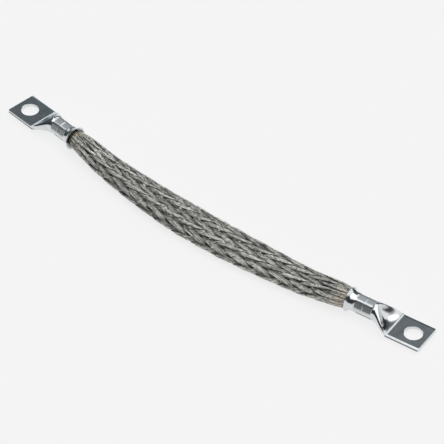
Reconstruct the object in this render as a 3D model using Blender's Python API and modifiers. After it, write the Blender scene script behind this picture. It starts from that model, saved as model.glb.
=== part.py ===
"""Braided earthing strap: a flattened tubular braid crimped into a cable lug at each end.

The strap lies on a table at z = 0. +X runs from the left bolt hole to the right one, and the
origin is on the table under the middle of the box round the two lugs.
"""
import math

import bmesh
import bpy
import numpy as np
from mathutils import Vector

MM = 0.001

# Strap
HOLE_SPACING = 150.0 * MM
LUG_TURN = math.radians(6.4)
BOW = 4.2 * MM
BOW_SKEW = 0.35 * MM

# Palm of a lug
HOLE_DIAMETER = 5.5 * MM
PALM_WIDTH = 10.0 * MM
PALM_THICKNESS = 1.1 * MM
PALM_TIP = 4.6 * MM
PALM_HEEL = 6.0 * MM
PALM_CORNER = 0.3 * MM

# Neck of a lug
NECK_LENGTH = 6.2 * MM
HEEL_BEAD = 0.2 * MM
HEEL_WIDTH = 0.5 * MM
DISH_APEX = 0.5 * MM
DISH_BELLY = 0.6 * MM
DISH_END = 0.88
DISH_CURVE = 2.2

# Barrel of a lug
TUBE_DIAMETER = 5.9 * MM
CRIMP_LENGTH = 6.3 * MM
CRIMP_ACROSS_FLATS = 5.1 * MM
CRIMP_STEP = 0.35 * MM
BITE_RIDGE_WIDTH = 0.5 * MM
BITE_RIDGE_HEIGHT = 0.15 * MM
COLLAR_LENGTH = 0.9 * MM
BELL_LENGTH = 1.5 * MM
BELL_DIAMETER = 7.7 * MM
BELL_LIP = 0.45 * MM
CRIMP_WALL = 0.55 * MM
FLARE_POWER = 1.5
HOLE_SIDES = 28
EDGE_STEPS = 4

# Braid
CARRIERS_EACH_WAY = 12
BRAID_WIDTH = 12.4 * MM
BRAID_THICKNESS = 4.7 * MM
BRAID_CROWN = 0.15 * MM
PICK_LENGTH = 7.6 * MM
LAYER_RISE = 0.63 * MM
STRAND_RISE = 0.25 * MM
FLOAT_SHARE = 0.45
SWAP_SHARE = 0.18
TOP_COLUMN = 2.85
LAY_START = 0.25
STEPS_PER_PICK = 4
LAY_EASE = 7.0 * MM
LEFT_SPREAD = 48.0 * MM
LEFT_POWER = 0.62
RIGHT_SPREAD = 45.0 * MM
RIGHT_POWER = 0.40
SINK_LENGTH = 18.0 * MM
TABLE_GAP = 0.05 * MM

# Braid ends inside the barrels
BORE_CLEARANCE = 0.25 * MM
MOUTH_BUNDLE = 5.5 * MM
PACKED_SHARE = 0.38
PACKED_RISE_SHARE = 0.28
GATHER_LENGTH = 3.0 * MM
GATHER_INSET = 0.8 * MM
BRAID_INSERT = 8.0 * MM

# Values tied to the sizes above
NECK_START = PALM_HEEL + HEEL_WIDTH
CRIMP_START = NECK_START + NECK_LENGTH
CRIMP_END = CRIMP_START + CRIMP_LENGTH
BELL_START = CRIMP_END + COLLAR_LENGTH
MOUTH = BELL_START + BELL_LENGTH
TUBE_RADIUS = TUBE_DIAMETER / 2
BELL_RADIUS = BELL_DIAMETER / 2
AXIS_HEIGHT = BELL_RADIUS
PALM_BOTTOM = AXIS_HEIGHT - TUBE_RADIUS
PALM_TOP = PALM_BOTTOM + PALM_THICKNESS
PALM_MIDDLE = (PALM_BOTTOM + PALM_TOP) / 2
CRIMP_BORE = CRIMP_ACROSS_FLATS / 2 - CRIMP_WALL
MOUTH_BORE = BELL_RADIUS - BELL_LIP
MOUTH_X = HOLE_SPACING / 2 - MOUTH * math.cos(LUG_TURN)
MOUTH_Y = -MOUTH * math.sin(LUG_TURN)
FRONT_REACH = -MOUTH_Y + BELL_RADIUS * math.cos(LUG_TURN)
BACK_REACH = ((PALM_TIP - PALM_CORNER) * math.sin(LUG_TURN)
              + PALM_WIDTH / 2 * math.cos(LUG_TURN))
WOVEN_RISE = LAYER_RISE + STRAND_RISE
REST_HEIGHT = BRAID_THICKNESS / 2 + TABLE_GAP
COLUMNS = 2 * CARRIERS_EACH_WAY
ARC_BULGE = 1 - math.cos(math.radians(30))


def mix(first, second, share):
    """Value a share of the way from first to second."""
    return first + (second - first) * share


def smooth(share):
    """Ease from 0 to 1 with level ends."""
    share = min(max(share, 0.0), 1.0)
    return share * share * (3 - 2 * share)


def clear_scene():
    """Remove every object of the scene."""
    for item in list(bpy.data.objects):
        bpy.data.objects.remove(item, do_unlink=True)


def make_material(name, colour, roughness, metallic):
    """Principled material with one colour."""
    material = bpy.data.materials.new(name)
    material.use_nodes = True
    shader = material.node_tree.nodes["Principled BSDF"]
    shader.inputs["Base Color"].default_value = (*colour, 1.0)
    shader.inputs["Roughness"].default_value = roughness
    shader.inputs["Metallic"].default_value = metallic
    return material


def make_collection(name):
    """New collection under the scene's own."""
    collection = bpy.data.collections.new(name)
    bpy.context.scene.collection.children.link(collection)
    return collection


def loft(name, rings, sharp_angle):
    """Mesh of one closed skin through rings of equally many points, with flat end faces."""
    shell = bmesh.new()
    rows = [[shell.verts.new(point) for point in ring] for ring in rings]
    count = len(rings[0])
    for near, far in zip(rows, rows[1:]):
        for index in range(count):
            after = (index + 1) % count
            shell.faces.new((near[index], near[after], far[after], far[index]))
    shell.faces.new(rows[0])
    shell.faces.new(rows[-1])
    bmesh.ops.recalc_face_normals(shell, faces=shell.faces)
    mesh = bpy.data.meshes.new(name)
    shell.to_mesh(mesh)
    shell.free()
    mesh.shade_smooth()
    mesh.set_sharp_from_angle(angle=math.radians(sharp_angle))
    return mesh


def add_object(name, data, collection, parent=None, material=None):
    """New object in a collection, with its material and parent."""
    item = bpy.data.objects.new(name, data)
    collection.objects.link(item)
    item.parent = parent
    if material is not None:
        data.materials.clear()
        data.materials.append(material)
    return item


def six_sided_ring(x, side, top, bottom, bulges):
    """Cross-section of a lug at x, as six edges that may each bulge into an arc.

    side, top and bottom are the half-width and height of the corners, and bulges are how far
    the top edge, the upper side edges, the lower side edges and the bottom edge stand out.
    """
    top_bulge, upper_bulge, lower_bulge, bottom_bulge = bulges
    corners = [(-top[0], top[1]), (top[0], top[1]), side, (bottom[0], bottom[1]),
               (-bottom[0], bottom[1]), (-side[0], side[1])]
    edge_bulges = [top_bulge, upper_bulge, lower_bulge, bottom_bulge, lower_bulge, upper_bulge]
    ring = []
    for index, bulge in enumerate(edge_bulges):
        start = Vector(corners[index])
        end = Vector(corners[(index + 1) % len(corners)])
        along = end - start
        outward = Vector((-along.y, along.x)).normalized()
        for step in range(EDGE_STEPS):
            share = step / EDGE_STEPS
            point = start + along * share + outward * bulge * 4 * share * (1 - share)
            ring.append(Vector((x, point.x, point.y)))
    return ring


def round_ring(x, radius, flatness=0.0, ridge=0.0):
    """Ring about the barrel's axis, round at flatness 0 and a hexagon with flat top at 1."""
    bulge = mix(radius * ARC_BULGE, ridge, flatness)
    rise = radius * math.cos(math.radians(30))
    return six_sided_ring(x, (radius, AXIS_HEIGHT), (radius / 2, AXIS_HEIGHT + rise),
                          (radius / 2, AXIS_HEIGHT - rise), (bulge,) * 4)


def palm_ring(x, half_width):
    """Rectangular section of the flat palm."""
    return six_sided_ring(x, (half_width, PALM_MIDDLE), (half_width, PALM_TOP),
                          (half_width, PALM_BOTTOM), (0.0,) * 4)


def neck_ring(share):
    """Section between palm and barrel: a flat bottom that rounds, flanks, and a scooped top.

    The scoop's two ridges leave the palm's corners and meet at its apex on top of the tube.
    """
    eased = smooth(share)
    scooped = share / DISH_END
    crest = AXIS_HEIGHT + math.sqrt(TUBE_RADIUS ** 2 - DISH_APEX ** 2)
    low = PALM_TOP + HEEL_BEAD
    rise = TUBE_RADIUS * math.cos(math.radians(30))
    side = (mix(PALM_WIDTH / 2, TUBE_RADIUS, eased), mix(PALM_MIDDLE, AXIS_HEIGHT, share))
    belly = DISH_BELLY * 4 * scooped * (1 - scooped)
    top = (mix(PALM_WIDTH / 2, DISH_APEX, scooped) + belly, mix(low, crest, scooped))
    bottom = (mix(PALM_WIDTH / 2, TUBE_RADIUS / 2, eased),
              mix(PALM_BOTTOM, AXIS_HEIGHT - rise, eased))
    dish = (crest - low) * (scooped ** DISH_CURVE - scooped)
    flank = TUBE_RADIUS * (1 - math.cos(math.radians(42))) * scooped
    round_edge = TUBE_RADIUS * ARC_BULGE
    bulges = (dish, flank, round_edge * eased, round_edge * share ** 2)
    return six_sided_ring(mix(NECK_START, CRIMP_START, share), side, top, bottom, bulges)


def lug_mesh():
    """Tubular lug about its bolt hole, mouth towards +X, before its hole and bore are cut."""
    hexagon = CRIMP_ACROSS_FLATS / math.sqrt(3)
    middle = (CRIMP_START + CRIMP_END) / 2
    ridge_half = BITE_RIDGE_WIDTH / 2
    rings = [palm_ring(-PALM_TIP, PALM_WIDTH / 2 - PALM_CORNER),
             palm_ring(-PALM_TIP + PALM_CORNER, PALM_WIDTH / 2),
             palm_ring(PALM_HEEL, PALM_WIDTH / 2)]
    rings += [neck_ring(share * DISH_END) for share in (0.0, 0.2, 0.4, 0.6, 0.8, 1.0)]
    rings.append(round_ring(CRIMP_START, TUBE_RADIUS))
    rings += [round_ring(CRIMP_START + CRIMP_STEP, hexagon, 1.0),
              round_ring(middle - ridge_half, hexagon, 1.0),
              round_ring(middle, hexagon, 1.0, BITE_RIDGE_HEIGHT),
              round_ring(middle + ridge_half, hexagon, 1.0),
              round_ring(CRIMP_END - CRIMP_STEP, hexagon, 1.0),
              round_ring(CRIMP_END, TUBE_RADIUS),
              round_ring(BELL_START, TUBE_RADIUS)]
    for share in (0.4, 0.75, 1.0):
        radius = mix(TUBE_RADIUS, BELL_RADIUS, share ** 2)
        rings.append(round_ring(mix(BELL_START, MOUTH, share), radius))
    return loft("lug", rings, 28)


def flare(depth):
    """Opening of the bore at a depth behind the mouth: 1 at the mouth and 0 in the crimp."""
    return min(max(1 - depth / (MOUTH - CRIMP_END), 0.0), 1.0) ** FLARE_POWER


def bore_cutter(collection, parent, name):
    """Turned cutter for the bore: a profile down its outer side, screwed about the axis."""
    overshoot = BELL_LENGTH / 2
    depths = [(MOUTH - CRIMP_END) * share for share in (0.0, 0.35, 0.7, 1.0)]
    profile = [(0.0, MOUTH + overshoot), (MOUTH_BORE, MOUTH + overshoot)]
    profile += [(mix(CRIMP_BORE, MOUTH_BORE, flare(depth)), MOUTH - depth) for depth in depths]
    profile += [(CRIMP_BORE, CRIMP_START), (0.0, CRIMP_START - CRIMP_BORE / 2)]
    mesh = bpy.data.meshes.new(name)
    mesh.from_pydata([(radius, 0.0, height) for radius, height in profile],
                     [(index, index + 1) for index in range(len(profile) - 1)], [])
    cutter = add_object(name, mesh, collection, parent)
    cutter.location = (0.0, 0.0, AXIS_HEIGHT)
    cutter.rotation_euler = (0.0, math.pi / 2, 0.0)
    screw = cutter.modifiers.new("turn", "SCREW")
    screw.axis = "Z"
    screw.steps = 6 * EDGE_STEPS
    screw.render_steps = screw.steps
    screw.use_merge_vertices = True
    screw.merge_threshold = 0.00001
    return cutter


def hole_cutter(collection, parent, name):
    """Round cutter for the bolt hole."""
    bpy.ops.mesh.primitive_cylinder_add(vertices=HOLE_SIDES, radius=HOLE_DIAMETER / 2,
                                        depth=3 * PALM_THICKNESS)
    cutter = bpy.context.object
    cutter.name = name
    for owner in list(cutter.users_collection):
        owner.objects.unlink(cutter)
    collection.objects.link(cutter)
    cutter.parent = parent
    cutter.location = (0.0, 0.0, PALM_MIDDLE)
    return cutter


def add_lug(name, side, mesh, parts, cutters, strap, material):
    """Lug at one end of the strap: side is -1 at the left and 1 at the right."""
    end = add_object(name + "_place", None, parts, strap)
    end.location = (side * HOLE_SPACING / 2, 0.0, 0.0)
    end.rotation_euler = (0.0, 0.0, -LUG_TURN if side < 0 else math.pi + LUG_TURN)
    lug = add_object(name, mesh, parts, end, material)
    for label, make_cutter in (("hole", hole_cutter), ("bore", bore_cutter)):
        cutter = make_cutter(cutters, end, name + "_" + label)
        cutter.hide_render = True
        cutter.display_type = "WIRE"
        cut = lug.modifiers.new(label, "BOOLEAN")
        cut.operation = "DIFFERENCE"
        cut.object = cutter
    return lug


def centre_point(x):
    """Point of the braid's centre line above or below the strap's chord at x."""
    beyond = abs(x) - MOUTH_X
    slope = math.tan(LUG_TURN)
    if beyond >= 0:
        return Vector((x, MOUTH_Y + beyond * slope, AXIS_HEIGHT))
    share = x / MOUTH_X
    flatten = 2 - slope * MOUTH_X / (2 * BOW)
    bow = 1 - flatten * share ** 2 + (flatten - 1) * share ** 4
    height = mix(AXIS_HEIGHT, REST_HEIGHT, smooth(-beyond / SINK_LENGTH))
    skew = BOW_SKEW * share * (1 - share ** 2) ** 2
    return Vector((x, MOUTH_Y - BOW * bow + skew, height))


class BraidPath:
    """Centre line of the braid by its length, measured from the left lug's mouth."""

    def __init__(self):
        reach = MOUTH_X + BRAID_INSERT
        self.places = np.linspace(-reach, reach, 1601)
        points = np.array([centre_point(x) for x in self.places])
        steps = np.linalg.norm(np.diff(points, axis=0), axis=1)
        lengths = np.concatenate(([0.0], np.cumsum(steps)))
        self.lengths = lengths - np.interp(-MOUTH_X, self.places, lengths)
        self.free_length = float(np.interp(MOUTH_X, self.places, self.lengths))
        woven = self.free_length - 2 * GATHER_LENGTH - LAY_EASE
        self.picks = max(round(2 * woven / PICK_LENGTH), 2) / 2
        self.pick = woven / self.picks

    def frame(self, length):
        """Point, sideways direction and upward direction at a length."""
        x = float(np.interp(length, self.lengths, self.places))
        tangent = (centre_point(x + MM / 10) - centre_point(x - MM / 10)).normalized()
        sideways = Vector((-tangent.y, tangent.x, 0.0)).normalized()
        return centre_point(x), sideways, tangent.cross(sideways)

    def turns(self, length):
        """Picks woven up to a length: the lay eases to nothing where the strands gather."""
        woven = min(max(length, GATHER_LENGTH), self.free_length - GATHER_LENGTH) - GATHER_LENGTH
        left = self.free_length - 2 * GATHER_LENGTH - woven
        if woven < LAY_EASE:
            return woven ** 2 / (2 * LAY_EASE * self.pick)
        if left < LAY_EASE:
            return self.picks - left ** 2 / (2 * LAY_EASE * self.pick)
        return (woven - LAY_EASE / 2) / self.pick

    def stations(self):
        """Lengths of the cross-sections, with STEPS_PER_PICK of them in each pick."""
        grid = np.linspace(GATHER_LENGTH, self.free_length - GATHER_LENGTH, 4001)
        turned = [self.turns(length) for length in grid]
        marks = np.arange(round(self.picks * STEPS_PER_PICK) + 1) / STEPS_PER_PICK
        woven = [float(np.interp(mark, turned, grid)) for mark in marks]
        inside = [BRAID_INSERT, MOUTH - CRIMP_END]
        left = [-depth for depth in inside] + [0.0, GATHER_LENGTH / 4, GATHER_LENGTH / 2]
        right = [self.free_length - length for length in reversed(left)]
        return left + woven + right


def envelope(path, length):
    """Outer width and height of the braid at a length."""
    outside = min(length, path.free_length - length)
    if outside < 0:
        diameter = mix(2 * (CRIMP_BORE - BORE_CLEARANCE), MOUTH_BUNDLE, flare(-outside))
        return diameter, diameter
    left = min(length / LEFT_SPREAD, 1.0) ** LEFT_POWER
    right = min((path.free_length - length) / RIGHT_SPREAD, 1.0) ** RIGHT_POWER
    width = mix(MOUTH_BUNDLE, BRAID_WIDTH, min(left, right))
    return width, mix(MOUTH_BUNDLE, BRAID_THICKNESS, smooth(outside / SINK_LENGTH))


def oval_point(around, width, height, crown):
    """Point and outward direction on a flattened oval, from its top middle towards +side."""
    straight = max(width - height, 0.0)
    radius = height / 2
    half_turn = math.pi * radius
    distance = (around % 1.0) * 2 * (straight + half_turn)
    if distance < straight / 2 or distance >= 1.5 * straight + 2 * half_turn:
        x = distance if distance < straight / 2 else distance - 2 * (straight + half_turn)
        raised = crown * (1 - (2 * x / straight) ** 2)
        return Vector((x, radius + raised)), Vector((0.0, 1.0))
    if distance < straight / 2 + half_turn:
        angle = math.pi / 2 - (distance - straight / 2) / radius
        outward = Vector((math.cos(angle), math.sin(angle)))
        return Vector((straight / 2, 0.0)) + outward * radius, outward
    if distance < 1.5 * straight + half_turn:
        x = straight + half_turn - distance
        raised = crown * (1 - (2 * x / straight) ** 2)
        return Vector((x, -radius - raised)), Vector((0.0, -1.0))
    angle = -math.pi / 2 - (distance - 1.5 * straight - half_turn) / radius
    outward = Vector((math.cos(angle), math.sin(angle)))
    return Vector((-straight / 2, 0.0)) + outward * radius, outward


def half_share(column):
    """Half-width of a strand along the braid, in picks, where it crosses a column."""
    middle = (FLOAT_SHARE + SWAP_SHARE) / 2
    swing = (FLOAT_SHARE - SWAP_SHARE) / 2
    return middle + swing * math.cos(math.pi * (column - 0.5))


def layer(column):
    """Layer of the right-hand strands: 1 over, -1 under, changing every two columns."""
    return math.cos(math.pi * (column - 0.5) / 2)


EDGE_COLUMNS = np.linspace(-2.0, 2.0, 1601)
EDGE_PHASES = np.array([column / 2 - half_share(column) for column in EDGE_COLUMNS])


def strand_edges(phase):
    """Columns of a strand's two edges where its middle is at column 2 * phase."""
    whole = math.floor(phase)
    part = phase - whole
    high = float(np.interp(part, EDGE_PHASES + 1, EDGE_COLUMNS + 2))
    low = 1 - float(np.interp(0.5 - part, EDGE_PHASES, EDGE_COLUMNS))
    return low + 2 * whole, high + 2 * whole


def strand_ring(path, length, index, hand):
    """Four-cornered section of a strand: edge, outer crest, edge, inner crest.

    hand is 1 for the strands that turn with the braid's length and -1 for the others.
    """
    phase = index + hand * (LAY_START + path.turns(length))
    low, high = strand_edges(phase)
    middle = 2 * phase
    outside = min(length, path.free_length - length)
    packed = 1 - smooth((outside + GATHER_INSET) / (GATHER_LENGTH + GATHER_INSET))
    width, height = envelope(path, length)
    packed_rise = PACKED_RISE_SHARE * height / 2
    rise = mix(WOVEN_RISE, packed_rise, packed)
    crown = BRAID_CROWN * (1 - packed)
    oval_height = height - 2 * (rise + crown)
    corners = []
    for column, lift, packed_column, packed_lift in (
            (low, 0.0, middle - PACKED_SHARE, 0.0), (middle, STRAND_RISE, middle, packed_rise),
            (high, 0.0, middle + PACKED_SHARE, 0.0), (middle, -STRAND_RISE, middle, -packed_rise)):
        woven_lift = hand * LAYER_RISE * layer(column) + lift
        around = (mix(column, packed_column, packed) - TOP_COLUMN) / COLUMNS
        point, outward = oval_point(around, width - 2 * rise, oval_height, crown)
        corners.append(point + outward * mix(woven_lift, packed_lift, packed))
    centre, sideways, upward = path.frame(length)
    return [centre + sideways * corner.x + upward * corner.y for corner in corners[::-hand]]


def add_strand(name, path, stations, index, hand, parts, strap, material):
    """One strand of the braid from barrel to barrel."""
    rings = [strand_ring(path, length, index, hand) for length in stations]
    return add_object(name, loft(name, rings, 70), parts, strap, material)


def main():
    """Build the strap."""
    clear_scene()
    parts = make_collection("braided_earthing_strap")
    cutters = make_collection("cutters")
    strap = add_object("strap_place", None, parts)
    strap.location = (0.0, (FRONT_REACH - BACK_REACH) / 2, 0.0)
    lug_tin = make_material("bright_tinned_copper", (0.66, 0.69, 0.71), 0.2, 1.0)
    wire_tin = make_material("tinned_wire", (0.42, 0.41, 0.38), 0.45, 1.0)
    mesh = lug_mesh()
    add_lug("left_lug", -1, mesh, parts, cutters, strap, lug_tin)
    add_lug("right_lug", 1, mesh, parts, cutters, strap, lug_tin)
    path = BraidPath()
    stations = path.stations()
    for label, hand in (("right_hand_strand", 1), ("left_hand_strand", -1)):
        for index in range(CARRIERS_EACH_WAY):
            name = f"{label}_{index + 1:02d}"
            add_strand(name, path, stations, index, hand, parts, strap, wire_tin)


main()
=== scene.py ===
"""Looks of the braided earthing strap: bright tinned lugs and a flattened braid of fine tinned wires.

Everything is in metres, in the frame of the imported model: the strap lies on a table at z = 0, and +X
runs from the left bolt hole to the right one.
"""
import logging
import math
from dataclasses import dataclass, field
from enum import Enum
from typing import Any

import bmesh
import bpy
import numpy as np
from mathutils import Matrix, Vector


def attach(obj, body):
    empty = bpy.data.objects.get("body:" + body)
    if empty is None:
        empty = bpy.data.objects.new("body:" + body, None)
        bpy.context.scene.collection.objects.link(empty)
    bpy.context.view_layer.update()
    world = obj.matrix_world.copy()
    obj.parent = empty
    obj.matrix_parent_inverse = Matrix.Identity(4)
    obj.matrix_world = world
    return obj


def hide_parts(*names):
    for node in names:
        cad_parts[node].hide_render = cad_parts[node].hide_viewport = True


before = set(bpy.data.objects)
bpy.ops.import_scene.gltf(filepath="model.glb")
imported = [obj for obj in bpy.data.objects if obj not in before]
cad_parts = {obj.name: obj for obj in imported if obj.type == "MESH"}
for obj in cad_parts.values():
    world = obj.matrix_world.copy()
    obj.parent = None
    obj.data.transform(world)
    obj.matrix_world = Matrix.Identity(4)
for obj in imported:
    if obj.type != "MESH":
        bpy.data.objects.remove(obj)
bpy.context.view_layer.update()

MM = 0.001
TINY = 1e-9
FLATS = 6
HALF_FLAT = math.radians(180 / FLATS)
CAMERA_TURN = 40.494
UNLIT = (0.01, 0.01, 0.012)
LOG = logging.getLogger("strap")


def mix(first: Any, second: Any, share: Any) -> Any:
    """Value, or array of values, a share of the way from first to second."""
    return first + (second - first) * share


def smooth(share: Any) -> np.ndarray:
    """Ease from 0 to 1 with level ends."""
    held = np.clip(share, 0.0, 1.0)
    return held * held * (3 - 2 * held)


def arch(share: float) -> float:
    """Parabola that is 0 at both ends and 1 half-way."""
    return 4 * share * (1 - share)


def placed(name: str, data: Any) -> bpy.types.Object:
    """Object with this data, put into the scene."""
    item = bpy.data.objects.new(name, data)
    bpy.context.scene.collection.objects.link(item)
    return item


def closed_mesh(name: str, shell: bmesh.types.BMesh) -> bpy.types.Mesh:
    """Mesh of a shell with its faces turned outward. The shell is freed."""
    bmesh.ops.recalc_face_normals(shell, faces=shell.faces)
    mesh = bpy.data.meshes.new(name)
    shell.to_mesh(mesh)
    shell.free()
    return mesh


class Signal:
    """One output socket. Arithmetic on it adds Math nodes to its tree."""

    def __init__(self, sheet: "NodeSheet", socket: bpy.types.NodeSocket) -> None:
        """Keep the socket and the sheet it belongs to."""
        self.sheet = sheet
        self.socket = socket

    def maths(self, operation: str, *terms: Any) -> "Signal":
        """Add a Math node.

        Args:
            operation: Blender's name of the operation.
            terms: its inputs in order, as signals or numbers.

        Returns:
            The node's output.
        """
        return self.sheet.node("ShaderNodeMath", {"operation": operation},
                               dict(enumerate(terms)))

    def __add__(self, other: Any) -> "Signal":
        """Sum."""
        return self.maths("ADD", self, other)

    def __radd__(self, other: Any) -> "Signal":
        """Sum with a number in front."""
        return self.maths("ADD", other, self)

    def __sub__(self, other: Any) -> "Signal":
        """Difference."""
        return self.maths("SUBTRACT", self, other)

    def __rsub__(self, other: Any) -> "Signal":
        """Difference from a number."""
        return self.maths("SUBTRACT", other, self)

    def __mul__(self, other: Any) -> "Signal":
        """Product."""
        return self.maths("MULTIPLY", self, other)

    def __rmul__(self, other: Any) -> "Signal":
        """Product with a number in front."""
        return self.maths("MULTIPLY", other, self)

    def __abs__(self) -> "Signal":
        """Value without its sign."""
        return self.maths("ABSOLUTE", self)

    def ramp(self, low: float, high: float) -> "Signal":
        """Ease from 0 at low to 1 at high, held outside them. Low may be the larger."""
        settings = {"interpolation_type": "SMOOTHSTEP"}
        inputs = {"Value": self, "From Min": low, "From Max": high}
        return self.sheet.node("ShaderNodeMapRange", settings, inputs)


class NodeSheet:
    """A node tree that is filled through one method."""

    def __init__(self, tree: bpy.types.NodeTree) -> None:
        """Empty the tree."""
        self.tree = tree
        tree.nodes.clear()

    def node(self, kind: str, settings: dict[str, Any] | None = None,
             inputs: dict[Any, Any] | None = None, output: Any = 0) -> Signal:
        """Add a node.

        Args:
            kind: the node's type.
            settings: its own properties, which are set first.
            inputs: values or signals of its sockets, by name or number.
            output: the socket to hand back.

        Returns:
            The chosen output, or the first input's signal of a node that has none.
        """
        made = self.tree.nodes.new(kind)
        for name, value in (settings or {}).items():
            setattr(made, name, value)
        for name, value in (inputs or {}).items():
            if isinstance(value, Signal):
                self.tree.links.new(value.socket, made.inputs[name])
            else:
                made.inputs[name].default_value = value
        sockets = made.outputs if len(made.outputs) else made.inputs
        return Signal(self, sockets[output])

    def place(self) -> Signal:
        """Coordinates in the piece's own metres."""
        return self.node("ShaderNodeTexCoord", output="Object")

    def part(self, vector: Signal, axis: str) -> Signal:
        """One coordinate of a vector, by its axis X, Y or Z."""
        return self.node("ShaderNodeSeparateXYZ", {}, {"Vector": vector}, axis)

    def towards(self, vector: Signal, aim: Vector) -> Signal:
        """How nearly a direction points along aim: 1 where it is the same."""
        return self.node("ShaderNodeVectorMath", {"operation": "DOT_PRODUCT"},
                         {0: vector, 1: tuple(aim)}, "Value")

    def noise(self, vector: Signal, scale: float, detail: float = 3.0,
              stretch: tuple[float, float, float] = (1.0, 1.0, 1.0)) -> Signal:
        """Soft noise from 0 to 1.

        Args:
            vector: the coordinates.
            scale: grains to the metre.
            detail: how many finer layers it has.
            stretch: factor on each coordinate, under 1 for grain drawn out along it.

        Returns:
            The noise's value.
        """
        drawn = self.node("ShaderNodeVectorMath", {"operation": "MULTIPLY"},
                          {0: vector, 1: stretch})
        return self.node("ShaderNodeTexNoise", {},
                         {"Vector": drawn, "Scale": scale, "Detail": detail})

    def blend(self, share: Any, first: Any, second: Any) -> Signal:
        """Colour between two colours."""
        def colour(value: Any) -> Any:
            """Colour with its alpha, or a signal as it is."""
            return value if isinstance(value, Signal) else (*value, 1.0)

        inputs = {"Factor": share, "A": colour(first), "B": colour(second)}
        made = self.tree.nodes.new("ShaderNodeMix")
        made.data_type = "RGBA"
        named = {socket.name: socket for socket in made.inputs if socket.enabled}
        for name, value in inputs.items():
            if isinstance(value, Signal):
                self.tree.links.new(value.socket, named[name])
            else:
                named[name].default_value = value
        return Signal(self, next(socket for socket in made.outputs if socket.enabled))

    def bump(self, height: Signal, depth: float) -> Signal:
        """Normal bent by a height signal whose full swing is depth metres."""
        return self.node("ShaderNodeBump", {},
                         {"Height": height, "Distance": depth, "Strength": 1.0})


@dataclass(frozen=True)
class WireFinish:
    """Dull, slightly warm tin on fine copper wire, with painted shade where wires pass under others
    and at the mouth.
    """

    name: str = "tinned_wire"
    colour: tuple[float, float, float] = (0.96, 0.95, 0.89)
    dark: tuple[float, float, float] = (0.38, 0.38, 0.36)
    warm: tuple[float, float, float] = (0.82, 0.70, 0.54)
    # Colour of the painted shade, and of the darkest random wire tone.
    black: tuple[float, float, float] = (0.05, 0.05, 0.045)
    roughness: float = 0.44
    roughness_swing: float = 0.16
    patch_scale: float = 260.0
    patch_ramp: tuple[float, float] = (0.2, 0.5)
    grain_scale: float = 2300.0
    grain_detail: float = 4.0
    grain_stretch: tuple[float, float, float] = (0.4, 1.0, 1.0)
    grain_ramp: tuple[float, float] = (0.38, 0.56)
    grain_relief: float = 0.03 * MM
    warm_reach: tuple[float, float] = (47.0 * MM, 55.0 * MM)
    warm_ramp: tuple[float, float] = (0.4, 0.6)
    warm_share: float = 0.7
    tone: str = "tone"

    def material(self) -> bpy.types.Material:
        """Make the material."""
        material = bpy.data.materials.new(self.name)
        material.use_nodes = True
        sheet = NodeSheet(material.node_tree)
        place = sheet.place()
        patches = sheet.noise(place, self.patch_scale)
        grain = sheet.noise(place, self.grain_scale, self.grain_detail, self.grain_stretch)
        tone = sheet.node("ShaderNodeAttribute", {"attribute_name": self.tone}, output="Fac")
        clean = patches.ramp(*self.patch_ramp) * grain.ramp(*self.grain_ramp)
        colour = sheet.blend(clean, self.dark, self.colour)
        heated = abs(sheet.part(place, "X")).ramp(*self.warm_reach)
        heated = heated * patches.ramp(*self.warm_ramp) * self.warm_share
        colour = sheet.blend(heated, colour, self.warm)
        # Painted shade and random wire tone: the tone attribute darkens the colour towards black.
        colour = sheet.blend(tone, self.black, colour)
        shader = sheet.node("ShaderNodeBsdfPrincipled", {}, {
            "Base Color": colour,
            "Metallic": 1.0,
            "Roughness": self.roughness + self.roughness_swing * (grain - 0.5),
            "Normal": sheet.bump(grain, self.grain_relief),
        })
        sheet.node("ShaderNodeOutputMaterial", {}, {"Surface": shader}, output="Surface")
        return material


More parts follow.
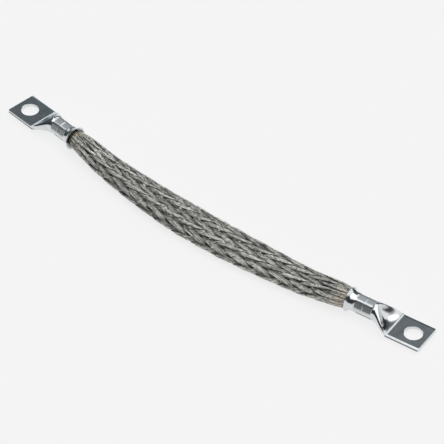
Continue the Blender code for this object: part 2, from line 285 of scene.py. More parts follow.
@dataclass(frozen=True)
class LugFinish:
    """Bright electro-tinned copper: faint drawing marks, a frosted press, painted shadow low on the
    palm's sides.
    """

    name: str = "tinned_lug"
    colour: tuple[float, float, float] = (0.74, 0.76, 0.77)
    stain: tuple[float, float, float] = (0.60, 0.64, 0.66)
    stain_scale: float = 420.0
    stain_ramp: tuple[float, float] = (0.38, 0.7)
    stain_share: float = 0.6
    roughness: float = 0.13
    roughness_swing: float = 0.10
    frost: float = 0.16
    press_start: float = 13.0 * MM
    press_end: float = 18.7 * MM
    press_edge: float = 0.1 * MM
    drawn_scale: float = 5200.0
    drawn_stretch: tuple[float, float, float] = (0.08, 1.0, 1.0)
    drawn_share: float = 0.35
    pit_scale: float = 2800.0
    pit_detail: float = 4.0
    pit_share: float = 0.35
    press_pit_share: float = 1.2
    relief: float = 0.006 * MM
    # Painted shadow: near-black line low on the palm's long sides, standing in for the shade under the
    # palm.
    painted_shadow: tuple[float, float, float] = (0.06, 0.065, 0.07)
    painted_shadow_band: tuple[float, float] = (1.12 * MM, 1.5 * MM)
    painted_shadow_edge: float = 0.05 * MM
    painted_shadow_flank: tuple[float, float] = (0.6, 0.8)
    painted_shadow_aside: tuple[float, float] = (3.0 * MM, 3.5 * MM)

    def painted_shadow_line(self, sheet: NodeSheet, place: Signal) -> Signal:
        """Where a dark line of painted shadow lies low on the palm's long sides, from 0 to 1."""
        low, high = self.painted_shadow_band
        height = sheet.part(place, "Z")
        facing = sheet.node("ShaderNodeNewGeometry", output="Normal")
        painted_shadow = height.ramp(low - self.painted_shadow_edge, low + self.painted_shadow_edge)
        painted_shadow = painted_shadow * height.ramp(high + self.painted_shadow_edge, high - self.painted_shadow_edge)
        painted_shadow = painted_shadow * abs(sheet.part(facing, "Y")).ramp(*self.painted_shadow_flank)
        painted_shadow = painted_shadow * abs(sheet.part(place, "Y")).ramp(*self.painted_shadow_aside)
        return painted_shadow * sheet.part(place, "X").ramp(self.press_start, self.press_start / 2)

    def material(self) -> bpy.types.Material:
        """Make the material."""
        material = bpy.data.materials.new(self.name)
        material.use_nodes = True
        sheet = NodeSheet(material.node_tree)
        place = sheet.place()
        along = sheet.part(place, "X")
        pressed = along.ramp(self.press_start - self.press_edge, self.press_start)
        pressed = pressed * along.ramp(self.press_end, self.press_end - self.press_edge)
        cloud = sheet.noise(place, self.stain_scale)
        drawn = sheet.noise(place, self.drawn_scale, stretch=self.drawn_stretch)
        pits = sheet.noise(place, self.pit_scale, self.pit_detail)
        stained = cloud.ramp(*self.stain_ramp) * self.stain_share
        colour = sheet.blend(stained, self.colour, self.stain)
        # Painted shadow: darken a band low on the palm's long sides.
        colour = sheet.blend(self.painted_shadow_line(sheet, place), colour, self.painted_shadow)
        pitted = pits * (self.pit_share + self.press_pit_share * pressed)
        relief = drawn * self.drawn_share + pitted
        shader = sheet.node("ShaderNodeBsdfPrincipled", {}, {
            "Base Color": colour,
            "Metallic": 1.0,
            "Roughness": self.roughness + self.roughness_swing * cloud + self.frost * pressed,
            "Normal": sheet.bump(relief, self.relief),
        })
        sheet.node("ShaderNodeOutputMaterial", {}, {"Surface": shader}, output="Surface")
        return material


@dataclass(frozen=True)
class LugSizes:
    """Driving sizes of a lug, along its own axis from the bolt hole to the mouth."""

    hole_diameter: float = 5.5 * MM
    palm_width: float = 10.0 * MM
    palm_thickness: float = 1.1 * MM
    palm_tip: float = 4.6 * MM
    palm_heel: float = 6.0 * MM
    palm_corner: float = 0.3 * MM
    neck_length: float = 6.2 * MM
    heel_bead: float = 0.2 * MM
    heel_width: float = 0.5 * MM
    dish_apex: float = 0.5 * MM
    dish_belly: float = 0.6 * MM
    dish_end: float = 0.88
    dish_curve: float = 3.2
    shoulder_angle: float = math.radians(42)
    tube_diameter: float = 5.9 * MM
    crimp_length: float = 6.3 * MM
    crimp_across_flats: float = 5.1 * MM
    crimp_step: float = 0.35 * MM
    bite_ridge_width: float = 0.5 * MM
    bite_ridge_height: float = 0.15 * MM
    collar_length: float = 0.9 * MM
    bell_length: float = 1.5 * MM
    bell_diameter: float = 7.7 * MM
    bell_lip: float = 0.45 * MM
    crimp_wall: float = 0.55 * MM
    flare_power: float = 1.5

    @property
    def neck_start(self) -> float:
        """Where the palm ends."""
        return self.palm_heel + self.heel_width

    @property
    def crimp_start(self) -> float:
        """Where the neck meets the barrel."""
        return self.neck_start + self.neck_length

    @property
    def crimp_end(self) -> float:
        """Where the pressed part of the barrel ends."""
        return self.crimp_start + self.crimp_length

    @property
    def bell_start(self) -> float:
        """Where the barrel starts to flare."""
        return self.crimp_end + self.collar_length

    @property
    def mouth(self) -> float:
        """Distance from the bolt hole to the mouth."""
        return self.bell_start + self.bell_length

    @property
    def tube_radius(self) -> float:
        """Outer radius of the barrel."""
        return self.tube_diameter / 2

    @property
    def axis_height(self) -> float:
        """Height of the barrel's axis: the bell touches the table."""
        return self.bell_diameter / 2

    @property
    def palm_bottom(self) -> float:
        """Height of the palm's lower face, level with the barrel's lowest line."""
        return self.axis_height - self.tube_radius

    @property
    def palm_top(self) -> float:
        """Height of the palm's upper face."""
        return self.palm_bottom + self.palm_thickness

    @property
    def palm_middle(self) -> float:
        """Height half-way through the palm."""
        return self.palm_bottom + self.palm_thickness / 2

    @property
    def crimp_bore(self) -> float:
        """Inner radius of the pressed part."""
        return self.crimp_across_flats / 2 - self.crimp_wall

    @property
    def mouth_bore(self) -> float:
        """Inner radius of the mouth."""
        return self.axis_height - self.bell_lip

    def flare(self, depth: Any) -> Any:
        """Opening of the bore at a depth behind the mouth: 1 at the mouth, 0 in the crimp."""
        return np.clip(1 - depth / (self.mouth - self.crimp_end), 0.0, 1.0) ** self.flare_power

    def bore_radius(self, depth: Any) -> Any:
        """Inner radius at a depth behind the mouth."""
        return mix(self.crimp_bore, self.mouth_bore, self.flare(depth))


@dataclass(frozen=True)
class StrapLine:
    """Where the lugs stand and the line that the braid follows between them."""

    lug: LugSizes = field(default_factory=LugSizes)
    hole_spacing: float = 150.0 * MM
    lug_turn: float = math.radians(6.4)
    bow: float = 4.2 * MM
    bow_skew: float = 0.35 * MM
    rest_height: float = 2.4 * MM
    sink_length: float = 18.0 * MM
    insert: float = 8.0 * MM

    @property
    def mouth_x(self) -> float:
        """Half the distance between the two mouths."""
        return self.hole_spacing / 2 - self.lug.mouth * math.cos(self.lug_turn)

    @property
    def mouth_y(self) -> float:
        """How far the mouths lie off the line through the bolt holes."""
        return -self.lug.mouth * math.sin(self.lug_turn)

    @property
    def shift(self) -> float:
        """Sideways shift that centres the two lugs' box on the origin."""
        front = -self.mouth_y + self.lug.axis_height * math.cos(self.lug_turn)
        back = ((self.lug.palm_tip - self.lug.palm_corner) * math.sin(self.lug_turn)
                + self.lug.palm_width / 2 * math.cos(self.lug_turn))
        return (front - back) / 2

    def lug_place(self, side: int) -> Matrix:
        """Place of a lug: side is -1 at the left and 1 at the right."""
        turn = -self.lug_turn if side < 0 else math.pi + self.lug_turn
        spot = Vector((side * self.hole_spacing / 2, self.shift, 0.0))
        return Matrix.Translation(spot) @ Matrix.Rotation(turn, 4, "Z")

    def points(self, x: np.ndarray) -> np.ndarray:
        """Points of the braid's centre line.

        Args:
            x: places along the strap.

        Returns:
            One row of three coordinates for each place.
        """
        beyond = np.abs(x) - self.mouth_x
        slope = math.tan(self.lug_turn)
        share = x / self.mouth_x
        flatten = 2 - slope * self.mouth_x / (2 * self.bow)
        bow = 1 - flatten * share ** 2 + (flatten - 1) * share ** 4
        skew = self.bow_skew * share * (1 - share ** 2) ** 2
        free = self.mouth_y - self.bow * bow + skew
        held = self.mouth_y + beyond * slope
        height = mix(self.lug.axis_height, self.rest_height, smooth(-beyond / self.sink_length))
        return np.stack((x, np.where(beyond >= 0, held, free) + self.shift, height), axis=-1)


class Hand(Enum):
    """Which way a strand turns as the braid runs from left to right."""

    RIGHT = 1
    LEFT = -1

    @property
    def label(self) -> str:
        """Start of the strand's name."""
        return f"{self.name.lower()}_hand_strand"


@dataclass
class Braid:
    """The flattened tube of 24 strands, each a flat bundle of fine wires."""

    line: StrapLine
    finish: WireFinish = field(default_factory=WireFinish)
    carriers: int = 12
    width: float = 12.4 * MM
    thickness: float = 4.7 * MM
    crown: float = 0.15 * MM
    pick_length: float = 7.6 * MM
    layer_rise: float = 0.34 * MM
    strand_rise: float = 0.25 * MM
    float_share: float = 0.45
    swap_share: float = 0.18
    top_column: float = 2.85
    lay_start: float = 0.25
    lay_ease: float = 7.0 * MM
    left_spread: float = 48.0 * MM
    left_power: float = 0.62
    right_spread: float = 45.0 * MM
    right_power: float = 0.40
    bore_clearance: float = 0.25 * MM
    mouth_bundle: float = 5.5 * MM
    packed_share: float = 0.38
    packed_rise_share: float = 0.28
    gather_length: float = 3.0 * MM
    gather_inset: float = 0.8 * MM
    wire_radius: float = 0.14 * MM
    outer_wires: int = 7
    inner_wires: int = 5
    outer_sides: int = 6
    inner_sides: int = 4
    station_gap: float = 0.7 * MM
    wander: float = 0.05 * MM
    wander_waves: tuple[float, ...] = (34.0 * MM, 15.0 * MM, 6.5 * MM)
    wander_stretch: tuple[float, float] = (0.8, 1.25)
    dive: float = 0.75
    wire_tone: tuple[float, float] = (0.3, 1.0)
    # Painted shade: share of its tone that a wire keeps where it dives under crossing strands, and
    # near and inside the mouth.
    painted_sunk_shade: float = 0.75
    sunk_waves: tuple[float, float] = (-0.1, 0.4)
    mouth_shade: float = 2.0 * MM
    seed: int = 11
    samples: int = 1601
    route_step: int = 20
    frame_reach: float = 0.1 * MM

    def __post_init__(self) -> None:
        """Measure the line and lay out the weave."""
        reach = self.line.mouth_x + self.line.insert
        self.places = np.linspace(-reach, reach, self.samples)
        steps = np.linalg.norm(np.diff(self.line.points(self.places), axis=0), axis=1)
        lengths = np.concatenate(([0.0], np.cumsum(steps)))
        self.lengths = lengths - np.interp(-self.line.mouth_x, self.places, lengths)
        self.free_length = float(np.interp(self.line.mouth_x, self.places, self.lengths))
        woven = self.free_length - 2 * self.gather_length - self.lay_ease
        self.picks = max(round(2 * woven / self.pick_length), 2) / 2
        self.pick = woven / self.picks
        self.edge_columns = np.linspace(-2.0, 2.0, self.samples)
        self.edge_phases = self.edge_columns / 2 - self.half_share(self.edge_columns)
        whole = float(self.lengths[-1] - self.lengths[0])
        count = round(whole / self.station_gap) + 1
        self.stations = np.linspace(self.lengths[0], self.lengths[-1], count)

    def half_share(self, column: np.ndarray) -> np.ndarray:
        """Half-width of a strand along the braid, in picks, where it crosses a column."""
        middle = (self.float_share + self.swap_share) / 2
        swing = (self.float_share - self.swap_share) / 2
        return middle + swing * np.cos(np.pi * (column - 0.5))

    def turns(self) -> np.ndarray:
        """Picks woven up to each station."""
        gathered = self.gather_length
        woven = np.clip(self.stations, gathered, self.free_length - gathered) - gathered
        left = self.free_length - 2 * gathered - woven
        ease = 2 * self.lay_ease * self.pick
        started = np.where(woven < self.lay_ease, woven ** 2 / ease,
                           (woven - self.lay_ease / 2) / self.pick)
        return np.where(left < self.lay_ease, self.picks - left ** 2 / ease, started)

    def strand_edges(self, phase: np.ndarray) -> tuple[np.ndarray, np.ndarray]:
        """Columns of a strand's two edges where its middle is at column 2 * phase."""
        whole = np.floor(phase)
        part = phase - whole
        high = np.interp(part, self.edge_phases + 1, self.edge_columns + 2)
        low = 1 - np.interp(0.5 - part, self.edge_phases, self.edge_columns)
        return low + 2 * whole, high + 2 * whole

    def envelope(self) -> tuple[np.ndarray, np.ndarray]:
        """Outer width and height of the braid at each station."""
        length = self.stations
        outside = np.minimum(length, self.free_length - length)
        crimped = 2 * (self.line.lug.crimp_bore - self.bore_clearance)
        bore = mix(crimped, self.mouth_bundle, self.line.lug.flare(-outside))
        left = np.clip(length / self.left_spread, 0.0, 1.0) ** self.left_power
        right = np.clip((self.free_length - length) / self.right_spread, 0.0, 1.0)
        width = mix(self.mouth_bundle, self.width, np.minimum(left, right ** self.right_power))
        height = mix(self.mouth_bundle, self.thickness, smooth(outside / self.line.sink_length))
        inside = outside < 0
        return np.where(inside, bore, width), np.where(inside, bore, height)

    def oval(self, around: np.ndarray, width: np.ndarray, height: np.ndarray,
             crown: np.ndarray) -> tuple[np.ndarray, np.ndarray]:
        """Points on a flattened oval.

        Args:
            around: share of the way round, from the top middle.
            width: the oval's width.
            height: its height.
            crown: how far its flat sides stand up in the middle.

        Returns:
            The points and the outward directions, each as two columns.
        """
        straight = np.maximum(width - height, TINY)
        radius = height / 2
        half_turn = math.pi * radius
        whole = 2 * (straight + half_turn)
        way = np.mod(around, 1.0) * whole
        way = np.where(way >= whole - straight / 2, way - whole, way)
        right_angle = math.pi / 2 - (way - straight / 2) / radius
        left_angle = -math.pi / 2 - (way - 1.5 * straight - half_turn) / radius
        low_x = straight + half_turn - way
        on_top = way < straight / 2
        on_right = way < straight / 2 + half_turn
        on_bottom = way < 1.5 * straight + half_turn
        zero = np.zeros_like(way)
        one = np.ones_like(way)
        out_x = np.select((on_top, on_right, on_bottom), (zero, np.cos(right_angle), zero),
                          np.cos(left_angle))
        out_z = np.select((on_top, on_right, on_bottom), (one, np.sin(right_angle), -one),
                          np.sin(left_angle))
        raised_top = crown * (1 - (2 * way / straight) ** 2)
        raised_low = crown * (1 - (2 * low_x / straight) ** 2)
        x = np.select((on_top, on_right, on_bottom),
                      (way, straight / 2 + radius * out_x, low_x),
                      -straight / 2 + radius * out_x)
        z = np.select((on_top, on_right, on_bottom),
                      (radius + raised_top, radius * out_z, -radius - raised_low),
                      radius * out_z)
        return np.stack((x, z), axis=-1), np.stack((out_x, out_z), axis=-1)

    def frames(self) -> tuple[np.ndarray, np.ndarray, np.ndarray]:
        """Centre, sideways direction and upward direction at each station."""
        x = np.interp(self.stations, self.lengths, self.places)
        along = self.line.points(x + self.frame_reach) - self.line.points(x - self.frame_reach)
        along /= np.linalg.norm(along, axis=1, keepdims=True)
        sideways = np.stack((-along[:, 1], along[:, 0], np.zeros(len(x))), axis=-1)
        sideways /= np.linalg.norm(sideways, axis=1, keepdims=True)
        return self.line.points(x), sideways, np.cross(along, sideways)

    def drift(self, random: np.random.Generator, size: float) -> np.ndarray:
        """Slow wander of one wire along the stations, about size metres each way."""
        total = np.zeros(len(self.stations))
        for wave in self.wander_waves:
            start = random.uniform(0, 2 * math.pi)
            stretch = random.uniform(*self.wander_stretch)
            total += np.sin(2 * math.pi * self.stations / (wave * stretch) + start)
        return total * size / 2

    def wire_tubes(self, index: int, hand: Hand, layer: int, random: np.random.Generator
                   ) -> tuple[np.ndarray, np.ndarray]:
        """Rings of the wires in one layer of a strand.

        Args:
            index: the strand's number among those of its hand.
            hand: the way it turns.
            layer: 1 for the outer wires and -1 for the inner ones.
            random: the source of their small wander.

        Returns:
            Points by wire, station, corner and coordinate, and tones by wire and station, which carry
            painted shade and a random tone for each wire.
        """
        turned = hand.value
        phase = index + turned * (self.lay_start + self.turns())
        low, high = self.strand_edges(phase)
        middle = 2 * phase
        outside = np.minimum(self.stations, self.free_length - self.stations)
        gathering = (outside + self.gather_inset) / (self.gather_length + self.gather_inset)
        packed = 1 - smooth(gathering)
        width, height = self.envelope()
        packed_rise = self.packed_rise_share * height / 2
        rise = mix(self.layer_rise + self.strand_rise, packed_rise, packed)
        crown = self.crown * (1 - packed)
        oval_height = height - 2 * (rise + crown)
        centre, sideways, upward = self.frames()
        count = self.outer_wires if layer > 0 else self.inner_wires
        sides = self.outer_sides if layer > 0 else self.inner_sides
        angles = 2 * math.pi * (np.arange(sides) + 0.5) / sides
        # Painted shade: wires darken near the mouth and inside the lug's bore.
        shaded = mix(self.painted_sunk_shade, 1.0, smooth(outside / self.mouth_shade))
        sunk, risen = self.sunk_waves
        tubes, tones = [], []
        for wire in range(count):
            share = (wire + 0.5) / count
            across = 2 * share - 1
            hump = layer * math.sqrt(1 - across * across)
            woven_column = mix(low, high, share)
            column = mix(woven_column, middle + across * self.packed_share, packed)
            wave = turned * np.cos(np.pi * (woven_column - 0.5) / 2)
            climb = self.layer_rise * np.sign(wave) * np.abs(wave) ** self.dive
            lift = mix(climb + hump * (self.strand_rise - self.wire_radius),
                       hump * (packed_rise - self.wire_radius), packed)
            lift = lift + self.drift(random, self.wander) * (1 - packed)
            aside = self.drift(random, self.wander) * (1 - packed)
            around = (column - self.top_column) / (2 * self.carriers)
            spot, outward = self.oval(around, width - 2 * rise, oval_height, crown)
            spot = spot + outward * lift[:, None]
            spot = spot + np.stack((outward[:, 1], -outward[:, 0]), axis=-1) * aside[:, None]
            ring_x = spot[:, :1] + self.wire_radius * np.cos(angles)
            ring_z = spot[:, 1:] + self.wire_radius * np.sin(angles)
            tubes.append(centre[:, None] + ring_x[..., None] * sideways[:, None]
                         + ring_z[..., None] * upward[:, None])
            # Painted shade: a wire darkens where it dives under the crossing strands.
            crossing_shade = mix(self.painted_sunk_shade, 1.0, smooth((wave - sunk) / (risen - sunk)))
            worn = mix(*self.wire_tone, math.sqrt(random.uniform(0, 1)))
            # The tone is painted shade times a random tone for each wire.
            tones.append(mix(crossing_shade, 1.0, packed) * shaded * worn)
        return np.array(tubes), np.array(tones)

    def strand(self, index: int, hand: Hand, material: bpy.types.Material) -> bpy.types.Object:
        """One strand as a piece that stands for its CAD node.

        Args:
            index: the strand's number among those of its hand.
            hand: the way it turns.
            material: the wire's finish.

        Returns:
            The piece.
        """
        random = np.random.default_rng(self.seed + 2 * index + (hand is Hand.LEFT))
        vertices, faces, shades = [], [], []
        for layer in (1, -1):
            tubes, tones = self.wire_tubes(index, hand, layer, random)
            wires, rings, sides, _ = tubes.shape
            start = sum(len(part) for part in vertices)
            number = start + np.arange(wires * rings * sides).reshape(wires, rings, sides)
            after = np.roll(number, -1, axis=2)
            quads = np.stack((number[:, :-1], after[:, :-1], after[:, 1:], number[:, 1:]), axis=-1)
            faces += quads.reshape(-1, 4).tolist()
            faces += number[:, 0, ::-1].tolist() + number[:, -1].tolist()
            vertices.append(tubes.reshape(-1, 3))
            shades.append(np.repeat(tones.ravel(), sides))
        node = f"{hand.label}_{index + 1:02d}"
        mesh = bpy.data.meshes.new(f"{node}_wires")
        mesh.from_pydata(np.concatenate(vertices).tolist(), [], faces)
        # Per-point tone: painted shade times a random tone for each wire.
        tone = mesh.attributes.new(self.finish.tone, "FLOAT", "POINT")
        tone.data.foreach_set("value", np.concatenate(shades))
        mesh.shade_smooth()
        mesh.materials.append(material)
        piece = placed(f"{node}_wires", mesh)
        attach(piece, "root")
        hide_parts(node)
        return piece

    def build(self) -> list[bpy.types.Object]:
        material = self.finish.material()
        pieces = [self.strand(index, hand, material)
                  for hand in Hand for index in range(self.carriers)]
        route = self.line.points(self.places)[::self.route_step]
        exit_point = self.line.points(np.array([-self.line.mouth_x]))[0]
        return pieces


@dataclass
class Lugs:
    """The two tubular lugs, as one fine mesh placed twice."""

    line: StrapLine
    finish: LugFinish = field(default_factory=LugFinish)
    edge_steps: int = 16
    neck_steps: int = 24
    bell_steps: int = 10
    bore_steps: int = 12
    hole_sides: int = 96
    bore_sides: int = 96
    rim: float = 0.09 * MM
    rim_steps: int = 3
    rim_angle: float = math.radians(40)
    crease_angle: float = math.radians(32)
    overcut: float = 1.0 * MM
    support: float = 0.1 * MM
    flash: float = 0.35 * MM
    feet: tuple[tuple[int, int], ...] = ((3, 1), (4, -1))
    press_power: float = 14.0
    fold: tuple[tuple[float, float], ...] = (
        (0.0, 0.0), (0.05 * MM, 0.03 * MM), (0.34 * MM, 0.34 * MM), (0.40 * MM, 0.37 * MM),
        (0.45 * MM, 0.32 * MM))

    @property
    def sizes(self) -> LugSizes:
        """The lug's sizes."""
        return self.line.lug

    def section(self, x: float, side: tuple[float, float], top: tuple[float, float],
                bottom: tuple[float, float], bulges: tuple[float, float, float, float]
                ) -> list[Vector]:
        """Six-edged cross-section.

        Args:
            x: its place along the lug.
            side: half-width and height of the side corners.
            top: half-width and height of the top corners.
            bottom: half-width and height of the bottom corners.
            bulges: how far the top, upper side, lower side and bottom edges stand out.

        Returns:
            The section's points in order.
        """
        top_bulge, upper, lower, bottom_bulge = bulges
        corners = [Vector((-top[0], top[1])), Vector(top), Vector(side), Vector(bottom),
                   Vector((-bottom[0], bottom[1])), Vector((-side[0], side[1]))]
        ring = []
        for index, bulge in enumerate((top_bulge, upper, lower, bottom_bulge, lower, upper)):
            start, end = corners[index], corners[(index + 1) % len(corners)]
            along = end - start
            outward = Vector((-along.y, along.x)).normalized()
            for step in range(self.edge_steps):
                share = step / self.edge_steps
                spot = start + along * share + outward * (bulge * arch(share))
                ring.append(Vector((x, spot.x, spot.y)))
        return ring

    def round_section(self, x: float, radius: float, flatness: float = 0.0,
                      ridge: float = 0.0) -> list[Vector]:
        """Section about the barrel's axis, round at flatness 0 and six-sided at 1."""
        height = self.sizes.axis_height
        bulge = mix(radius * (1 - math.cos(HALF_FLAT)), ridge, flatness)
        rise = radius * math.cos(HALF_FLAT)
        return self.section(x, (radius, height), (radius / 2, height + rise),
                            (radius / 2, height - rise), (bulge,) * 4)

    def pressed_section(self, x: float, hexagon: float, ridge: float) -> list[Vector]:
        """Rounded six-sided section of the press, with the die's flash at its two feet.

        Args:
            x: its place along the lug.
            hexagon: distance from the axis to a corner.
            ridge: how far its edges stand out half-way.

        Returns:
            The section's points in order.
        """
        height = self.sizes.axis_height
        flats = [2 * HALF_FLAT * index for index in range(FLATS)]
        ring = self.round_section(x, hexagon, 1.0, ridge)
        for point in ring:
            reach = math.hypot(point.y, point.z - height)
            angle = math.atan2(point.y, point.z - height)
            facing = [max(math.cos(angle - flat), 0.0) for flat in flats]
            worn = max(facing) / sum(part ** self.press_power for part in facing
                                     ) ** (1 / self.press_power)
            point.y *= worn
            point.z = height + (point.z - height) * worn
        for foot, side in self.feet:
            tip = ring[foot * self.edge_steps]
            root = ring[foot * self.edge_steps - side]
            root.yz = tip.yz
            out = Vector((side * self.flash / 2, -self.flash * math.cos(HALF_FLAT)))
            tip.yz = tip.yz + out
        return ring

    def palm_section(self, x: float, half_width: float, rise: float = 0.0) -> list[Vector]:
        """Rectangular section of the palm, raised where it folds up at the heel."""
        size = self.sizes
        return self.section(x, (half_width, size.palm_middle), (half_width, size.palm_top + rise),
                            (half_width, size.palm_bottom), (0.0,) * 4)

    def neck_section(self, share: float) -> list[Vector]:
        """Section between palm and barrel, with its scooped top."""
        size = self.sizes
        eased = float(smooth(share))
        scooped = share / size.dish_end
        crest = size.axis_height + math.sqrt(size.tube_radius ** 2 - size.dish_apex ** 2)
        low = size.palm_top + size.heel_bead
        rise = size.tube_radius * math.cos(HALF_FLAT)
        half = size.palm_width / 2
        side = (mix(half, size.tube_radius, eased),
                mix(size.palm_middle, size.axis_height, share))
        belly = size.dish_belly * arch(scooped)
        top = (mix(half, size.dish_apex, scooped) + belly, mix(low, crest, scooped))
        bottom = (mix(half, size.tube_radius / 2, math.sqrt(eased)),
                  mix(size.palm_bottom, size.axis_height - rise, eased))
        dish = (crest - low) * (scooped ** size.dish_curve - scooped)
        flank = size.tube_radius * (1 - math.cos(size.shoulder_angle)) * scooped
        arc = size.tube_radius * (1 - math.cos(HALF_FLAT))
        return self.section(mix(size.neck_start, size.crimp_start, share), side, top, bottom,
                            (dish, flank, arc * eased, arc * share ** 2))

    def rings(self) -> list[list[Vector]]:
        """Sections of the lug from the palm's tip to the mouth."""
        size = self.sizes
        half = size.palm_width / 2
        hexagon = size.crimp_across_flats / math.sqrt(3)
        middle = (size.crimp_start + size.crimp_end) / 2
        ridge = size.bite_ridge_width / 2
        rings = [self.palm_section(-size.palm_tip, half - size.palm_corner),
                 self.palm_section(-size.palm_tip + size.palm_corner, half),
                 self.palm_section(size.palm_heel - self.support, half)]
        rings += [self.palm_section(size.palm_heel + reach, half, rise)
                  for reach, rise in self.fold]
        rings += [self.neck_section(size.dish_end * step / self.neck_steps)
                  for step in range(self.neck_steps + 1)]
        rings.append(self.round_section(size.crimp_start, size.tube_radius))
        bite_start = size.crimp_start + size.crimp_step
        bite_end = size.crimp_end - size.crimp_step
        rings += [self.pressed_section(x, hexagon, rise) for x, rise in (
            (bite_start, 0.0), (bite_start + self.support, 0.0),
            (middle - ridge - self.support, 0.0), (middle - ridge, 0.0),
            (middle, size.bite_ridge_height), (middle + ridge, 0.0),
            (middle + ridge + self.support, 0.0), (bite_end - self.support, 0.0),
            (bite_end, 0.0))]
        rings += [self.round_section(size.crimp_end, size.tube_radius),
                  self.round_section(size.crimp_end + self.support, size.tube_radius),
                  self.round_section(size.bell_start, size.tube_radius)]
        for step in range(1, self.bell_steps + 1):
            share = step / self.bell_steps
            radius = mix(size.tube_radius, size.bell_diameter / 2, share ** 2)
            rings.append(self.round_section(mix(size.bell_start, size.mouth, share), radius))
        return rings

    def skin(self) -> bpy.types.Mesh:
        """Outer skin of a lug before its hole and bore are cut."""
        shell = bmesh.new()
        rows = [[shell.verts.new(point) for point in ring] for ring in self.rings()]
        count = len(rows[0])
        for near, far in zip(rows, rows[1:]):
            for index in range(count):
                after = (index + 1) % count
                shell.faces.new((near[index], near[after], far[after], far[index]))
        shell.faces.new(rows[0])
        shell.faces.new(rows[-1])
        return closed_mesh("lug_skin", shell)

    def turned(self, name: str, profile: list[tuple[float, float]], sides: int,
               place: Matrix) -> bpy.types.Object:
        """Closed solid turned from a profile of radius and height about its own Z."""
        shell = bmesh.new()
        rows = []
        for radius, height in profile:
            if radius == 0.0:
                rows.append([shell.verts.new((0.0, 0.0, height))] * sides)
                continue
            angles = (2 * math.pi * step / sides for step in range(sides))
            rows.append([shell.verts.new((radius * math.cos(angle), radius * math.sin(angle),
                                          height)) for angle in angles])
        for near, far in zip(rows, rows[1:]):
            for index in range(sides):
                after = (index + 1) % sides
                corners = dict.fromkeys((near[index], near[after], far[after], far[index]))
                shell.faces.new(list(corners))
        shell.transform(place)
        return placed(name, closed_mesh(name, shell))

    def cutters(self) -> list[bpy.types.Object]:
        """Solids of the bolt hole and the bore."""
        size = self.sizes
        hole = size.hole_diameter / 2
        rim, thick, over = self.rim, size.palm_thickness, self.overcut
        hole_line = [(0.0, -over), (hole + rim + over, -over), (hole, rim), (hole, thick - rim),
                     (hole + rim + over, thick + over), (0.0, thick + over)]
        depths = [(size.mouth - size.crimp_end) * step / self.bore_steps
                  for step in range(self.bore_steps + 1)]
        bore_line = [(0.0, size.mouth + over), (size.mouth_bore + over, size.mouth + over)]
        bore_line += [(float(size.bore_radius(depth)), size.mouth - depth) for depth in depths]
        bore_line += [(size.crimp_bore, size.crimp_start),
                      (0.0, size.crimp_start - size.crimp_bore / 2)]
        lying = (Matrix.Translation((0.0, 0.0, size.axis_height))
                 @ Matrix.Rotation(math.pi / 2, 4, "Y"))
        return [self.turned("hole_cutter", hole_line, self.hole_sides,
                            Matrix.Translation((0.0, 0.0, size.palm_bottom))),
                self.turned("bore_cutter", bore_line, self.bore_sides, lying)]

    def mesh(self) -> bpy.types.Mesh:
        """The finished lug about its bolt hole."""
        blank = placed("lug_blank", self.skin())
        round_off = blank.modifiers.new("round_off", "BEVEL")
        round_off.width = self.rim
        round_off.segments = self.rim_steps
        round_off.angle_limit = self.rim_angle
        cutters = self.cutters()
        for cutter in cutters:
            cut = blank.modifiers.new(cutter.name, "BOOLEAN")
            cut.operation = "DIFFERENCE"
            cut.solver = "EXACT"
            cut.object = cutter
        bpy.context.view_layer.update()
        shaped = blank.evaluated_get(bpy.context.evaluated_depsgraph_get())
        mesh = bpy.data.meshes.new_from_object(shaped)
        for item in (blank, *cutters):
            bpy.data.objects.remove(item, do_unlink=True)
        mesh.shade_smooth()
        mesh.set_sharp_from_angle(angle=self.crease_angle)
        mesh.materials.clear()
        mesh.materials.append(self.finish.material())
        return mesh

    def build(self) -> list[bpy.types.Object]:
        """Make both lugs."""
        mesh = self.mesh()
        pieces = []
        for side, node in ((-1, "left_lug"), (1, "right_lug")):
            piece = placed(f"{node}_tinned", mesh)
            piece.matrix_world = self.line.lug_place(side)
            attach(piece, "root")
            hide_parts(node)
            pieces.append(piece)
        return pieces


@dataclass(frozen=True)
class Spot:
    """A round patch of the studio that the metal mirrors."""

    azimuth: float
    elevation: float
    rim: tuple[float, float]
    colour: tuple[float, float, float] = (1.0, 1.0, 1.0)

    @property
    def aim(self) -> Vector:
        """Direction from the strap towards the patch."""
        turn, rise = math.radians(self.azimuth), math.radians(self.elevation)
        return Vector((math.sin(turn) * math.cos(rise), -math.cos(turn) * math.cos(rise),
                       math.sin(rise)))


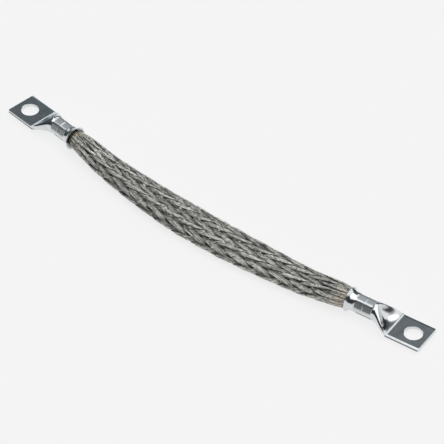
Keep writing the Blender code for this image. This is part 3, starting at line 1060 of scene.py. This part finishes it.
@dataclass
class Studio:
    """Pale floor, soft light round the strap, and the camera."""

    line: StrapLine
    eye: Spot = Spot(CAMERA_TURN, 43.085, (0.965, 0.982), UNLIT)
    distance: float = 869 * MM
    lens: float = 236.78
    sensor: float = 36.0
    clip: tuple[float, float] = (0.05, 50.0)
    aim: tuple[float, float] = (2.548 * MM, 0.714 * MM)
    floor_half: float = 6.0
    paper: float = 0.905
    floor_glow: float = 0.972
    glow_share: float = 0.8
    band: tuple[float, float, float] = (0.066, 0.082, 0.092)
    front: Spot = Spot(CAMERA_TURN, 0.0, (-0.15, 0.25), (0.035, 0.037, 0.042))
    side_box: Spot = Spot(125.0, 28.0, (0.80, 0.90))
    low_box: Spot = Spot(230.0, 17.0, (0.94, 0.975), (0.50, 0.58, 0.63))
    doorway: Spot = Spot(171.0, 12.0, (0.93, 0.965), UNLIT)
    dome: float = 1.5
    dome_rim: tuple[float, float] = (0.73, 0.84)

    def camera(self) -> None:
        """Set up the camera."""
        data = bpy.data.cameras.new("camera")
        data.lens = self.lens
        data.sensor_width = self.sensor
        data.clip_start, data.clip_end = self.clip
        camera = placed("camera", data)
        aim = Vector((self.aim[0], self.aim[1] + self.line.shift, self.line.lug.palm_bottom))
        camera.location = aim + self.eye.aim * self.distance
        camera.rotation_mode = "QUATERNION"
        camera.rotation_quaternion = (-self.eye.aim).to_track_quat("-Z", "Y")
        bpy.context.scene.camera = camera

    def floor(self) -> None:
        """Plain pale floor that keeps the strap's shadow."""
        half = self.floor_half
        mesh = bpy.data.meshes.new("floor")
        mesh.from_pydata([(-half, -half, 0.0), (half, -half, 0.0), (half, half, 0.0),
                          (-half, half, 0.0)], [], [(0, 1, 2, 3)])
        material = bpy.data.materials.new("floor_paper")
        material.use_nodes = True
        sheet = NodeSheet(material.node_tree)
        paper = (self.paper, self.paper, self.paper, 1.0)
        camera, glossy, through = (
            sheet.node("ShaderNodeLightPath", output=f"Is {ray} Ray")
            for ray in ("Camera", "Glossy", "Transmission"))
        seen = (camera + glossy + through).ramp(0.0, 1.0)
        shadowed = sheet.node("ShaderNodeBsdfDiffuse", {}, {"Color": paper})
        glow = (self.floor_glow, self.floor_glow, self.floor_glow, 1.0)
        lit = sheet.node("ShaderNodeEmission", {}, {"Color": glow, "Strength": 1.0})
        shader = sheet.node("ShaderNodeMixShader", {},
                            {0: seen * self.glow_share, 1: shadowed, 2: lit})
        sheet.node("ShaderNodeOutputMaterial", {}, {"Surface": shader}, output="Surface")
        mesh.materials.append(material)
        floor = placed("floor", mesh)

    def world(self) -> None:
        """Bright dome over a darker band, with a pale backdrop for the camera."""
        world = bpy.data.worlds.new("studio")
        bpy.context.scene.world = world
        world.use_nodes = True
        sheet = NodeSheet(world.node_tree)
        way = sheet.node("ShaderNodeTexCoord", output="Generated")
        dome = sheet.part(way, "Z").ramp(*self.dome_rim) * self.dome
        box = sheet.towards(way, self.side_box.aim).ramp(*self.side_box.rim)
        bright = dome.maths("MAXIMUM", dome, box)
        ahead = sheet.towards(way, self.front.aim).ramp(*self.front.rim)
        dim = sheet.blend(ahead, self.band, self.front.colour)
        light = sheet.blend(bright.maths("MINIMUM", bright, 1.0), dim, self.side_box.colour)
        for spot in (self.low_box, self.doorway, self.eye):
            share = sheet.towards(way, spot.aim).ramp(*spot.rim)
            light = sheet.blend(share, light, spot.colour)
        seen = sheet.node("ShaderNodeLightPath", output="Is Camera Ray")
        paper = (self.paper,) * 3
        colour = sheet.blend(seen, light, paper)
        strength = mix(bright.maths("MAXIMUM", bright, 1.0), 1.0, seen)
        shader = sheet.node("ShaderNodeBackground", {}, {"Color": colour, "Strength": strength})
        sheet.node("ShaderNodeOutputWorld", {}, {"Surface": shader}, output="Surface")

    def build(self) -> None:
        """Make the stage round the strap."""
        self.camera()
        self.floor()
        self.world()
        bpy.context.scene.view_settings.view_transform = "Standard"


def main() -> None:
    """Build the strap and its studio, and report each piece."""
    logging.basicConfig(level=logging.INFO, format="%(name)s: %(message)s")
    line = StrapLine()
    Studio(line).build()
    for sub_assembly in (Braid(line), Lugs(line)):
        for piece in sub_assembly.build():
            LOG.info("%s: %d faces", piece.name, len(piece.data.polygons))


if __name__ == "__main__":
    main()
